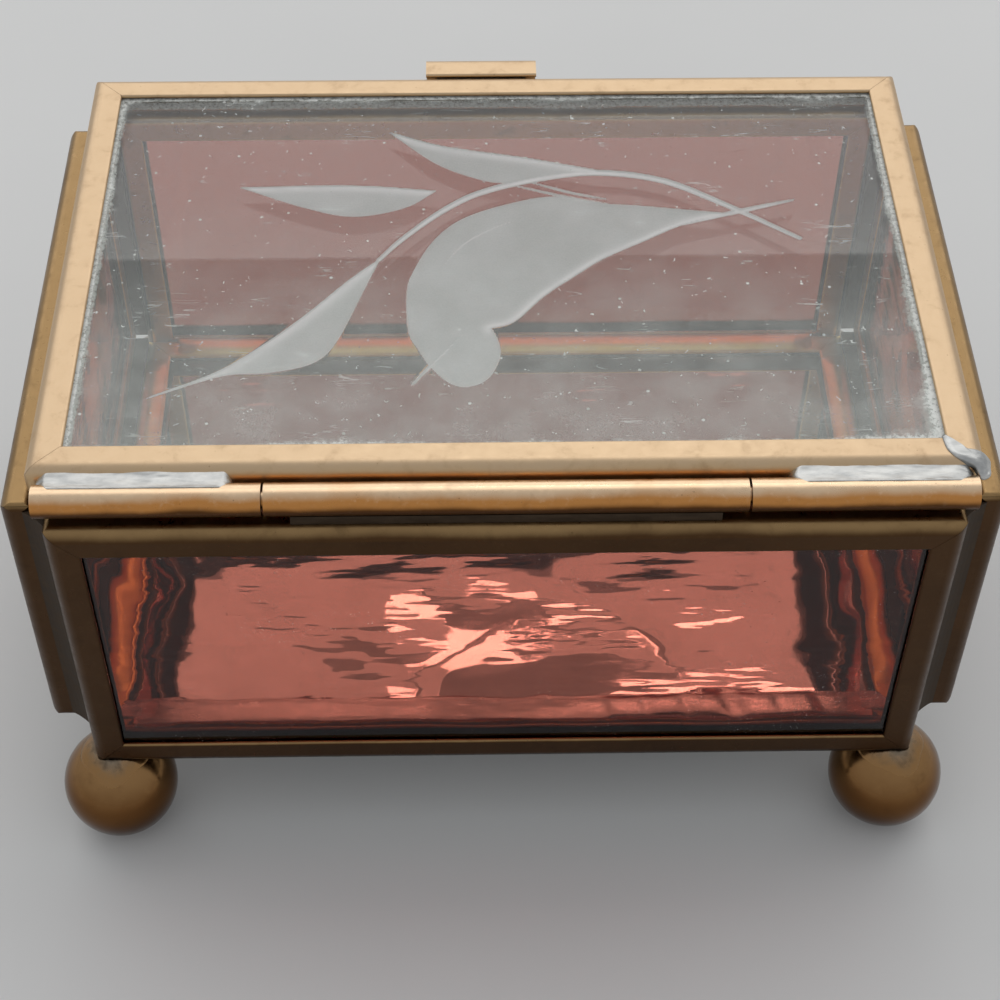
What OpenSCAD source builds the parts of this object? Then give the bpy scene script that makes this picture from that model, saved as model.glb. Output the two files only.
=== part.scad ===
// Hinged glass casket. Each pane sits in its own frame of folded brass channel with
// mitred corners, and the framed panels are soldered together along their edges.
// +Z is up, the front (the lid's finger tab) faces -Y, and the hinge is at +Y.
// The origin is on the floor, under the middle of the box. Millimetres.

/* [Box] */
// Depth over the front and back walls
box_depth = 54.4; // [40:0.1:90]
// Width of the front and back walls
wall_w = 73.6; // [50:0.2:120]
// Height of the front and back walls
wall_h = 31.5; // [22:0.25:60]
// Space left between two panels where their corners meet
joint_gap = 0.15; // [0.05:0.05:0.3]
// Space between the end of a front or back wall and the inner face of a side wall
side_gap = 0.8; // [0.1:0.1:1]

/* [Glass and channel] */
// Thickness of every pane
glass_t = 2; // [1.5:0.1:3]
// Play between the pane and each flange of its channel
glass_play = 0.05; // [0.02:0.01:0.1]
// How far the pane's edge reaches past the point where the channel's flanges begin to fold
glass_reach = 0.15; // [0:0.01:0.16]
// Sheet thickness of the folded channel
came_wall = 0.45; // [0.3:0.05:0.6]
// Width of the channel's face, from its spine to its lips
came_face = 2.85; // [2.2:0.05:4]
// Outside radius of the channel's two folds
fold_r = 1.1; // [0.6:0.05:1.2]
// Rounding of each frame's four corners
corner_r = 0.6; // [0.3:0.05:1]
// Half of the hairline left at each mitre, measured along the rail
mitre_gap = 0.02; // [0.01:0.01:0.1]

/* [Lid] */
// How far the lid stands out past each end of the back wall
lid_overhang = 1.3; // [0.8:0.1:2.5]
// Space between the walls' tops and the lid's underside
lid_gap = 0.6; // [0.2:0.05:0.6]
// Space between the lid's back edge and the inner face of the back wall
lid_back_gap = 0.6; // [0.3:0.05:1.5]
// Length of the finger tab
tab_len = 10.5; // [6:0.5:20]
// How far the tab stands out in front
tab_reach = 2.85; // [2:0.05:4]
// How far the tab sits to the right of the middle
tab_offset = 1.4; // [-10:0.1:10]

/* [Hinge] */
// Outside diameter of the hinge tube
barrel_d = 2.7; // [2.4:0.1:3.6]
// Diameter of the hinge pin
pin_d = 1.4; // [1:0.1:1.7]
// Radial play of the pin in the tube
pin_play = 0.04; // [0.02:0.01:0.08]
// Distance from each end of the lid to the end of the hinge
hinge_inset = 0.8; // [0.2:0.1:5]
// Length of each outer tube
outer_knuckle_len = 18; // [10:0.5:22]
// Space between two tubes
knuckle_gap = 0.2; // [0.1:0.05:0.4]
// Space between the tube and the back wall's top
barrel_seat_gap = 0.5; // [0.2:0.05:0.8]
// Space between the tube and the lid's back edge
barrel_lid_gap = 0.25; // [0.15:0.05:0.8]

/* [Feet] */
// Diameter of a ball foot
foot_d = 10.3; // [8:0.1:14]
// How far the ball is filed down where it is soldered on
foot_seat_cut = 0.5; // [0.3:0.05:1.5]
// How far the ball is worn flat where it stands
foot_wear = 0.15; // [0.1:0.05:0.4]
// Distance from the end of the back wall to the foot's middle
foot_inset = 1.5; // [0:0.1:4]

/* [Solder] */
// Distance from a wall's outer face to the edge of the solder in the corner beside it
seam_inset = 1.1; // [0.3:0.1:1.6]
// How deep the solder's face is hollowed
seam_hollow = 0.3; // [0:0.05:0.6]
// How far the solder has run in between the two rounded edges
seam_depth = 0.35; // [0.1:0.05:0.6]
// Space between the solder's modelled face and the metal
seam_play = 0.03; // [0.02:0.01:0.08]
// Length of the solder on the left outer tube
solder_len_left = 15; // [8:0.5:17]
// Length of the solder on the right outer tube
solder_len_right = 16; // [8:0.5:17]
// Width of the solder ring around a foot's seat
foot_ring = 1.3; // [1:0.1:1.8]
// How far that ring runs down the ball
foot_ring_drop = 0.7; // [0.3:0.1:0.9]
// Height of the bead over the lid's soldered mitre
bead_rise = 0.21; // [0.1:0.01:0.25]
// Distance from each end of the tab to the solder inside it
tab_solder_inset = 1; // [0.5:0.5:2]
// Distance from each end of the middle tube to the solder under it
center_solder_inset = 2; // [1:0.5:10]

/* [Hidden] */

// Sides of a frame, as quarter turns from its lower edge
BOTTOM = 0;
RIGHT = 1;
TOP = 2;
LEFT = 3;

brass = "#b98f57";
solder_grey = "#c8cac8";
rose = "#d98d86";
clear = "#c9d6d4";
silvered = "#aeb6ba";

eps = 0.01;
slot_t = glass_t + 2 * glass_play;
came_t = slot_t + 2 * came_wall;

// Feet and the heights that stand on them
foot_r = foot_d / 2;
foot_z = foot_r - foot_wear;
wall_z = foot_z + foot_r - foot_seat_cut;
wall_top = wall_z + wall_h;
wall_mid_z = wall_z + wall_h / 2;
foot_x = wall_w / 2 - foot_inset;
foot_y = box_depth / 2 - came_t / 2;
seat_r = sqrt(foot_r * foot_r - pow(foot_r - foot_seat_cut, 2));
ring_play = 4 * seam_play;

// Walls: the front and back lie outside the ends of the two sides
wall_y = box_depth / 2 - came_t / 2;
inner_y = box_depth / 2 - came_t;
side_x = wall_w / 2 + side_gap + came_t / 2;
side_len = 2 * (inner_y - joint_gap);
side_h = wall_h - came_t - joint_gap;
side_mid_z = wall_top - side_h / 2;

// Legs of the solder in an outside corner: over the side wall's end, and over the front or back wall's end
seam_leg_x = side_gap + came_t - seam_inset + seam_depth;
seam_leg_y = joint_gap + came_t - seam_inset + seam_depth;

// Lid: its front edge is flush with the front wall
lid_w = wall_w + 2 * lid_overhang;
lid_d = box_depth - came_t - lid_back_gap;
lid_y = (lid_d - box_depth) / 2;
lid_back_y = lid_y + lid_d / 2;
lid_front_y = lid_y - lid_d / 2;
lid_z = wall_top + lid_gap;
lid_mid_z = lid_z + came_t / 2;

// Hinge
barrel_r = barrel_d / 2;
bore_r = pin_d / 2 + pin_play;
axis_y = lid_back_y + barrel_lid_gap + barrel_r;
axis_z = wall_top + barrel_seat_gap + barrel_r;
hinge_len = lid_w - 2 * hinge_inset;
center_knuckle_len = hinge_len - 2 * (outer_knuckle_len + knuckle_gap);
outer_knuckle_x = (hinge_len - outer_knuckle_len) / 2;

$fn = 48;

// ---------- Shared shapes ----------

// Section of the folded channel: the spine is at x = 0 and the mouth opens towards +x
module came_profile(face) {
    lip_r = came_wall / 2;
    inner_r = fold_r - came_wall;
    difference() {
        union() {
            translate([fold_r, -came_t / 2]) square([face - fold_r - lip_r, came_t]);
            translate([0, fold_r - came_t / 2]) square([fold_r + eps, came_t - 2 * fold_r]);
            for (side = [-1, 1]) {
                translate([fold_r, side * (came_t / 2 - fold_r)]) circle(fold_r);
                translate([face - lip_r, side * (came_t / 2 - lip_r)]) circle(lip_r);
            }
        }
        translate([fold_r, -slot_t / 2]) square([face, slot_t]);
        translate([came_wall, inner_r - slot_t / 2]) square([face, slot_t - 2 * inner_r]);
        for (side = [-1, 1])
            translate([fold_r, side * (slot_t / 2 - inner_r)]) circle(inner_r);
    }
}

// The filled outside of that section, grown by the play that solder keeps from it
module came_outline() {
    grown_t = came_t + 2 * seam_play;
    translate([fold_r, -grown_t / 2]) square([came_face - fold_r, grown_t]);
    translate([-seam_play, fold_r - came_t / 2]) square([fold_r + seam_play + eps, came_t - 2 * fold_r]);
    for (side = [-1, 1])
        translate([fold_r, side * (came_t / 2 - fold_r)]) circle(fold_r + seam_play);
}

// Outline of a frame seen from its face, with rounded corners
module frame_outline(w, h) {
    square([w - 2 * corner_r, h], center = true);
    square([w, h - 2 * corner_r], center = true);
    for (x = [-1, 1], y = [-1, 1])
        translate([x * (w / 2 - corner_r), y * (h / 2 - corner_r)]) circle(corner_r);
}

// What one rail keeps of the frame: a trapezium with a mitre at each end
module mitred_strip(len, across) {
    reach = came_face + 1;
    polygon([
        [mitre_gap - len / 2 - 1, -across / 2 - 1],
        [len / 2 - mitre_gap + 1, -across / 2 - 1],
        [len / 2 - mitre_gap - reach, reach - across / 2],
        [mitre_gap - len / 2 + reach, reach - across / 2]
    ]);
}

// One rail of a frame of w by h that lies in the XY plane, centred on the origin
module came_rail(w, h, side) {
    len = side % 2 == 0 ? w : h;
    across = side % 2 == 0 ? h : w;
    color(brass)
        rotate([0, 0, 90 * side])
            intersection() {
                translate([-len / 2, -across / 2, 0])
                    rotate([90, 0, 90])
                        linear_extrude(height = len)
                            came_profile(came_face);
                translate([0, 0, -came_t])
                    linear_extrude(height = 2 * came_t)
                        intersection() {
                            frame_outline(len, across);
                            mitred_strip(len, across);
                        }
            }
}

// The pane that such a frame holds
module pane(w, h, tint) {
    cut = 2 * (fold_r - glass_reach);
    color(tint) cube([w - cut, h - cut, glass_t], center = true);
}

// Section of solder in a right-angled groove, with its corner at the origin and a hollow face
// that sags from the straight line between the ends of the two legs
module seam_profile(leg_x, leg_y) {
    steps = 8;
    polygon(concat(
        [[0, 0]],
        [for (i = [0:steps])
            let (t = i / steps, sag = seam_hollow * 4 * t * (1 - t) / sqrt(2))
            [leg_x * (1 - t) - sag, leg_y * t - sag]]
    ));
}

// ---------- Where each panel stands ----------

module at_back() translate([0, wall_y, wall_mid_z]) rotate([90, 0, 0]) children();
module at_front() translate([0, -wall_y, wall_mid_z]) rotate([90, 0, 0]) children();
module at_left() translate([-side_x, 0, side_mid_z]) rotate([90, 0, 90]) children();
module at_right() translate([side_x, 0, side_mid_z]) rotate([90, 0, 90]) children();
module at_base() translate([0, 0, wall_z + came_t / 2]) children();
module at_lid() translate([0, lid_y, lid_mid_z]) children();

// ---------- Lid ----------

module lid_glass() at_lid() pane(lid_w, lid_d, clear);
module lid_rail_front() at_lid() came_rail(lid_w, lid_d, BOTTOM);
module lid_rail_back() at_lid() came_rail(lid_w, lid_d, TOP);
module lid_rail_left() at_lid() came_rail(lid_w, lid_d, LEFT);
module lid_rail_right() at_lid() came_rail(lid_w, lid_d, RIGHT);

// The tab is a short length of channel, its mouth against the lid's front rail
module lid_tab() {
    color(brass)
        translate([tab_offset - tab_len / 2, lid_front_y - seam_play - tab_reach, lid_mid_z])
            rotate([90, 0, 90])
                linear_extrude(height = tab_len)
                    came_profile(tab_reach);
}

// Solder inside the tab, from its mouth back to the rail's spine
module lid_tab_solder() {
    depth = tab_reach / 2;
    color(solder_grey)
        translate([tab_offset, lid_front_y - seam_play - depth / 2, lid_mid_z])
            cube([tab_len - 2 * tab_solder_inset, depth, slot_t - 2 * seam_play], center = true);
}

// Solder run over the mitre at the lid's back left corner, on top of both rails
module lid_corner_solder() {
    half_w = came_face * 0.3;
    bead_r = (half_w * half_w + bead_rise * bead_rise) / (2 * bead_rise);
    bead_len = came_face * sqrt(2) - 2 * corner_r;
    color(solder_grey)
        translate([-lid_w / 2 + corner_r, lid_back_y - corner_r, lid_z + came_t + seam_play])
            rotate([0, 0, -45])
                rotate([90, 0, 90])
                    linear_extrude(height = bead_len)
                        intersection() {
                            translate([0, bead_rise - bead_r]) circle(bead_r);
                            translate([-half_w, 0]) square([2 * half_w, bead_rise]);
                        }
}

// ---------- Hinge ----------

module tube(len) {
    color(brass)
        translate([-len / 2, axis_y, axis_z])
            rotate([0, 90, 0])
                difference() {
                    cylinder(h = len, r = barrel_r);
                    translate([0, 0, -1]) cylinder(h = len + 2, r = bore_r);
                }
}

module hinge_knuckle_left() translate([-outer_knuckle_x, 0, 0]) tube(outer_knuckle_len);
module hinge_knuckle_right() translate([outer_knuckle_x, 0, 0]) tube(outer_knuckle_len);
module hinge_knuckle_center() tube(center_knuckle_len);

module hinge_pin() {
    color(brass)
        translate([-hinge_len / 2, axis_y, axis_z])
            rotate([0, 90, 0])
                cylinder(h = hinge_len, r = pin_d / 2);
}

// Solder in the valley between the lid's back edge and a tube, dished on top
module lid_solder_strip(len) {
    top_z = axis_z + barrel_r * 0.9;
    low_z = lid_z + fold_r;
    dish_r = barrel_r * 1.6;
    dish_depth = barrel_r * 0.1;
    color(solder_grey)
        rotate([90, 0, 90])
            linear_extrude(height = len)
                difference() {
                    translate([lid_back_y - fold_r, low_z])
                        square([axis_y - lid_back_y + fold_r, top_z - low_z]);
                    translate([lid_back_y, lid_mid_z]) mirror([1, 0]) came_outline();
                    translate([axis_y, axis_z]) circle(barrel_r + seam_play);
                    translate([lid_back_y, top_z + dish_r - dish_depth]) circle(dish_r);
                }
}

module hinge_solder_left() translate([-hinge_len / 2, 0, 0]) lid_solder_strip(solder_len_left);
module hinge_solder_right() translate([hinge_len / 2 - solder_len_right, 0, 0]) lid_solder_strip(solder_len_right);

// Solder between the middle tube and the rounded top of the back wall
module hinge_solder_center() {
    len = center_knuckle_len - 2 * center_solder_inset;
    low_z = wall_top - fold_r / 2;
    inner_w = barrel_r * 0.75;
    outer_w = barrel_r * 0.4;
    color(solder_grey)
        translate([-len / 2, 0, 0])
            rotate([90, 0, 90])
                linear_extrude(height = len)
                    difference() {
                        translate([wall_y - inner_w, low_z])
                            square([inner_w + outer_w, axis_z - barrel_r * 0.7 - low_z]);
                        translate([wall_y, wall_top]) rotate(-90) came_outline();
                        translate([axis_y, axis_z]) circle(barrel_r + seam_play);
                    }
}

// ---------- Walls ----------

module back_glass() at_back() pane(wall_w, wall_h, rose);
module back_rail_top() at_back() came_rail(wall_w, wall_h, TOP);
module back_rail_bottom() at_back() came_rail(wall_w, wall_h, BOTTOM);
module back_rail_left() at_back() came_rail(wall_w, wall_h, LEFT);
module back_rail_right() at_back() came_rail(wall_w, wall_h, RIGHT);

module front_glass() at_front() pane(wall_w, wall_h, rose);
module front_rail_top() at_front() came_rail(wall_w, wall_h, TOP);
module front_rail_bottom() at_front() came_rail(wall_w, wall_h, BOTTOM);
module front_rail_left() at_front() came_rail(wall_w, wall_h, LEFT);
module front_rail_right() at_front() came_rail(wall_w, wall_h, RIGHT);

module left_glass() at_left() pane(side_len, side_h, rose);
module left_rail_top() at_left() came_rail(side_len, side_h, TOP);
module left_rail_bottom() at_left() came_rail(side_len, side_h, BOTTOM);
module left_rail_front() at_left() came_rail(side_len, side_h, LEFT);
module left_rail_back() at_left() came_rail(side_len, side_h, RIGHT);

module right_glass() at_right() pane(side_len, side_h, rose);
module right_rail_top() at_right() came_rail(side_len, side_h, TOP);
module right_rail_bottom() at_right() came_rail(side_len, side_h, BOTTOM);
module right_rail_front() at_right() came_rail(side_len, side_h, LEFT);
module right_rail_back() at_right() came_rail(side_len, side_h, RIGHT);

// ---------- Base ----------

module base_mirror() at_base() pane(wall_w, side_len, silvered);
module base_rail_front() at_base() came_rail(wall_w, side_len, BOTTOM);
module base_rail_back() at_base() came_rail(wall_w, side_len, TOP);
module base_rail_left() at_base() came_rail(wall_w, side_len, LEFT);
module base_rail_right() at_base() came_rail(wall_w, side_len, RIGHT);

// ---------- Solder seams of the box ----------

// Fills the outside corner between the end of a front or back wall and the end of a side wall
module corner_seam(x_side, y_side) {
    color(solder_grey)
        mirror([x_side < 0 ? 1 : 0, 0, 0])
            mirror([0, y_side < 0 ? 1 : 0, 0])
                translate([0, 0, wall_top - side_h + corner_r])
                    linear_extrude(height = side_h - 2 * corner_r)
                        difference() {
                            translate([wall_w / 2 - seam_depth, side_len / 2 - seam_depth])
                                seam_profile(seam_leg_x, seam_leg_y);
                            translate([wall_w / 2, wall_y]) mirror([1, 0]) came_outline();
                            translate([side_x, side_len / 2]) rotate(-90) came_outline();
                        }
}

module corner_solder_back_left() corner_seam(-1, 1);
module corner_solder_back_right() corner_seam(1, 1);
module corner_solder_front_left() corner_seam(-1, -1);
module corner_solder_front_right() corner_seam(1, -1);

// Fills the groove between the base's end and the underside of a side wall
module base_seam(x_side) {
    len = side_len - 2 * corner_r;
    side_low_z = wall_top - side_h;
    color(solder_grey)
        mirror([x_side < 0 ? 1 : 0, 0, 0])
            translate([0, len / 2, 0])
                rotate([90, 0, 0])
                    linear_extrude(height = len)
                        difference() {
                            translate([wall_w / 2 - seam_depth, side_low_z + seam_depth])
                                mirror([0, 1])
                                    seam_profile(seam_leg_x, seam_leg_y);
                            translate([wall_w / 2, wall_z + came_t / 2]) mirror([1, 0]) came_outline();
                            translate([side_x, side_low_z]) rotate(90) came_outline();
                        }
}

module base_solder_left() base_seam(-1);
module base_solder_right() base_seam(1);

// ---------- Feet ----------

module at_foot(x_side, y_side) translate([x_side * foot_x, y_side * foot_y, 0]) children();

module ball_foot() {
    color(brass)
        intersection() {
            translate([0, 0, foot_z]) sphere(foot_r, $fn = 64);
            cylinder(h = wall_z - seam_play, r = foot_d);
        }
}

module foot_back_left() at_foot(-1, 1) ball_foot();
module foot_back_right() at_foot(1, 1) ball_foot();
module foot_front_left() at_foot(-1, -1) ball_foot();
module foot_front_right() at_foot(1, -1) ball_foot();

// Ring of solder under the panels, around the foot's seat. It stops where the panels stop.
module foot_solder(x_side, y_side) {
    top_z = wall_z - seam_play;
    low_r = sqrt(foot_r * foot_r - pow(foot_r - foot_seat_cut - foot_ring_drop, 2));
    color(solder_grey)
        intersection() {
            at_foot(x_side, y_side)
                rotate_extrude()
                    polygon([
                        [seat_r + ring_play, top_z],
                        [seat_r + foot_ring, top_z],
                        [low_r + ring_play, top_z - foot_ring_drop]
                    ]);
            translate([-wall_w / 2 + corner_r, -box_depth / 2 + fold_r, 0])
                cube([wall_w - 2 * corner_r, box_depth - 2 * fold_r, wall_z]);
        }
}

module foot_solder_back_left() foot_solder(-1, 1);
module foot_solder_back_right() foot_solder(1, 1);
module foot_solder_front_left() foot_solder(-1, -1);
module foot_solder_front_right() foot_solder(1, -1);

// ---------- What is drawn ----------

lid_glass();
lid_rail_front();
lid_rail_back();
lid_rail_left();
lid_rail_right();
lid_tab();
lid_tab_solder();
lid_corner_solder();
hinge_knuckle_left();
hinge_knuckle_right();
hinge_solder_left();
hinge_solder_right();
hinge_knuckle_center();
hinge_solder_center();
hinge_pin();
back_glass();
back_rail_top();
back_rail_bottom();
back_rail_left();
back_rail_right();
front_glass();
front_rail_top();
front_rail_bottom();
front_rail_left();
front_rail_right();
left_glass();
left_rail_top();
left_rail_bottom();
left_rail_front();
left_rail_back();
right_glass();
right_rail_top();
right_rail_bottom();
right_rail_front();
right_rail_back();
base_mirror();
base_rail_front();
base_rail_back();
base_rail_left();
base_rail_right();
corner_solder_back_left();
corner_solder_back_right();
corner_solder_front_left();
corner_solder_front_right();
base_solder_left();
base_solder_right();
foot_back_left();
foot_back_right();
foot_front_left();
foot_front_right();
foot_solder_back_left();
foot_solder_back_right();
foot_solder_front_left();
foot_solder_front_right();
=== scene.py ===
import math

import bpy
import numpy as np
from mathutils import Matrix, Vector


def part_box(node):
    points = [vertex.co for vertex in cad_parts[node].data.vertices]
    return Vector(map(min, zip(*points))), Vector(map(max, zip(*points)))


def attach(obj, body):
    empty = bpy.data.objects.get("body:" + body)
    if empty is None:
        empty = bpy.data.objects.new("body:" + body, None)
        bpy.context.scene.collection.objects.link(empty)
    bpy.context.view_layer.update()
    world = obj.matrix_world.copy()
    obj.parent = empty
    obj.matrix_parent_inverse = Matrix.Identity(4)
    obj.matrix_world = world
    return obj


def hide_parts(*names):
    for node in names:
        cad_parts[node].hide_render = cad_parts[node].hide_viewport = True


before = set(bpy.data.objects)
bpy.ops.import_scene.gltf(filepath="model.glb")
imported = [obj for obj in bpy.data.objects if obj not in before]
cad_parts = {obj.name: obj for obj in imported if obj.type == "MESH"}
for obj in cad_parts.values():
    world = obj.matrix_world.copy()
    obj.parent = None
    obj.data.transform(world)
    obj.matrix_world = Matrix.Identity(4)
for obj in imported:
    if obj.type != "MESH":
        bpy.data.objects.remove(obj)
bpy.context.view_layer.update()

MM = 0.001

# ---------------------------------------------------------------- sizes taken from the frame

LID_LOW, LID_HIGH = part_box("lid_glass")
RAIL_LOW, RAIL_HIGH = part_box("lid_rail_back")
LID_CENTRE = ((LID_LOW[0] + LID_HIGH[0]) / 2, (LID_LOW[1] + LID_HIGH[1]) / 2)
# Millimetres: the width of a channel's face, the rounding of its folded edge and of a frame's corner, and how
# much of a ball is worn off where it stands
CAME_FACE = 2.85
FOLD_R = 1.1
CORNER_R = 0.6
FOOT_WEAR = 0.15
# How far from the middle, along X and Y, the walls' inner faces lie
INNER_X = -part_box("left_rail_top")[1][0]
INNER_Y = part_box("back_rail_top")[0][1]
# How far past them, in metres, the painted highlight on faces that look into the box still reaches
INNER_SLACK = 0.15 * MM


def box_mm(node):
    """The low and high corners of a node's box, in millimetres."""
    low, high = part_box(node)
    return np.array(low) / MM, np.array(high) / MM


# ---------------------------------------------------------------- meshes


def new_object(name, verts, faces, material, smooth=True):
    """A mesh object whose vertices are already in the frame, in metres."""
    mesh = bpy.data.meshes.new(name)
    mesh.from_pydata([tuple(v) for v in verts], [], faces)
    mesh.validate()
    mesh.materials.append(material)
    obj = bpy.data.objects.new(name, mesh)
    bpy.context.scene.collection.objects.link(obj)
    if smooth:
        mesh.polygons.foreach_set("use_smooth", [True] * len(mesh.polygons))
    mesh.update()
    return obj


def grid_faces(columns, rows, start=0, flip=False):
    """Quads of a grid of columns by rows vertices, numbered along each row."""
    i = np.arange(columns - 1)[None, :] + columns * np.arange(rows - 1)[:, None] + start
    quads = np.stack([i, i + 1, i + 1 + columns, i + columns], axis=-1).reshape(-1, 4)
    if flip:
        quads = quads[:, ::-1]
    return quads.tolist()


def rim_faces(columns, rows, offset):
    """Quads that join the edge of a grid to the edge of a second one, offset vertices later."""
    bottom = list(range(columns))
    right = [columns * (r + 1) - 1 for r in range(1, rows)]
    top = [columns * (rows - 1) + c for c in range(columns - 2, -1, -1)]
    left = [columns * r for r in range(rows - 2, 0, -1)]
    loop = bottom + right + top + left
    following = loop[1:] + loop[:1]
    return [(b, a, a + offset, b + offset) for a, b in zip(loop, following)]


def slab(name, us, vs, top, bottom, place, material):
    """A closed plate between two surfaces. top and bottom are their heights over the grid us by vs, and
    place(u, v, w) gives a point's position in the frame."""
    u, v = np.meshgrid(us, vs)
    upper = place(u.ravel(), v.ravel(), top.ravel())
    lower = place(u.ravel(), v.ravel(), bottom.ravel())
    columns, rows = len(us), len(vs)
    count = columns * rows
    faces = grid_faces(columns, rows) + grid_faces(columns, rows, count, flip=True)
    faces += rim_faces(columns, rows, count)
    return new_object(name, np.vstack([upper, lower]), faces, material)


# ---------------------------------------------------------------- materials


class Nodes:
    """A short way to build a node tree."""

    def __init__(self, name):
        self.material = bpy.data.materials.new(name)
        self.material.use_nodes = True
        self.tree = self.material.node_tree
        self.tree.nodes.clear()
        self.output = self.tree.nodes.new("ShaderNodeOutputMaterial")

    def add(self, kind, inputs=None, **settings):
        node = self.tree.nodes.new("ShaderNode" + kind)
        for key, value in settings.items():
            setattr(node, key, value)
        for key, value in (inputs or {}).items():
            self.put(node.inputs[key], value)
        return node

    def put(self, socket, value):
        if isinstance(value, bpy.types.NodeSocket):
            self.tree.links.new(value, socket)
        else:
            socket.default_value = value

    def place(self):
        """Position on the object, in metres."""
        return self.add("TexCoord").outputs["Object"]

    def stretched(self, place, scale):
        return self.add("Mapping", {"Vector": place, "Scale": scale}).outputs["Vector"]

    def noise(self, place, size, detail=4.0, roughness=0.55, distortion=0.0):
        """Noise whose features are about size metres across, from 0 to 1."""
        inputs = {"Vector": place, "Scale": 1 / size, "Detail": detail, "Roughness": roughness}
        inputs["Distortion"] = distortion
        return self.add("TexNoise", inputs).outputs["Fac"]

    def cells(self, place, size):
        """Distance from the nearest of scattered points, in cells of size metres."""
        return self.add("TexVoronoi", {"Vector": place, "Scale": 1 / size}).outputs["Distance"]

    def math(self, operation, a, b=0.0, clamp=False):
        node = self.add("Math", operation=operation, use_clamp=clamp)
        self.put(node.inputs[0], a)
        self.put(node.inputs[1], b)
        return node.outputs[0]

    def ramp(self, value, low, high, out_low=0.0, out_high=1.0):
        """value from low to high, smoothly taken to out_low to out_high."""
        inputs = {"Value": value, "From Min": low, "From Max": high, "To Min": out_low, "To Max": out_high}
        node = self.add("MapRange", inputs, interpolation_type="SMOOTHSTEP")
        return node.outputs["Result"]

    def mix(self, factor, a, b):
        node = self.add("Mix", data_type="RGBA")
        self.put(node.inputs["Factor"], factor)
        self.put(node.inputs[6], rgba(a) if isinstance(a, tuple) else a)
        self.put(node.inputs[7], rgba(b) if isinstance(b, tuple) else b)
        return node.outputs[2]

    def bump(self, height, distance, strength):
        inputs = {"Height": height, "Distance": distance, "Strength": strength}
        return self.add("Bump", inputs).outputs["Normal"]

    def times(self, value, factor):
        return self.math("MULTIPLY", value, factor)

    def near_half(self, value, near, far):
        """1 where value is within near of 0.5, and 0 from far away on: a thin line through a noise."""
        return self.ramp(self.math("ABSOLUTE", self.math("SUBTRACT", value, 0.5)), near, far, 1.0, 0.0)

    def finish(self, shader):
        self.tree.links.new(shader, self.output.inputs["Surface"])
        return self.material


# Indices of refraction. The rose glass is set lower than real glass, for the look of its reflections.
CLEAR_IOR = 1.5
ROSE_IOR = 1.40


def rgba(colour):
    return (*colour, 1.0)


def faces_inward(n, place, normal_out):
    """1 on faces that look into the box and lie within its walls, and 0 elsewhere."""
    level = n.add("VectorMath", {0: place, 1: (1.0, 1.0, 0.0)}, operation="MULTIPLY").outputs[0]
    outward = n.add("VectorMath", {0: level, 1: normal_out}, operation="DOT_PRODUCT").outputs["Value"]
    parts = n.add("SeparateXYZ", {"Vector": place})
    inside_x = n.math("SUBTRACT", INNER_X + INNER_SLACK, n.math("ABSOLUTE", parts.outputs["X"]))
    inside_y = n.math("SUBTRACT", INNER_Y + INNER_SLACK, n.math("ABSOLUTE", parts.outputs["Y"]))
    within = n.ramp(n.math("MINIMUM", inside_x, inside_y), 0.0, 0.1 * MM)
    return n.times(n.ramp(outward, -12 * MM, -4 * MM, 1.0, 0.0), within)


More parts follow.
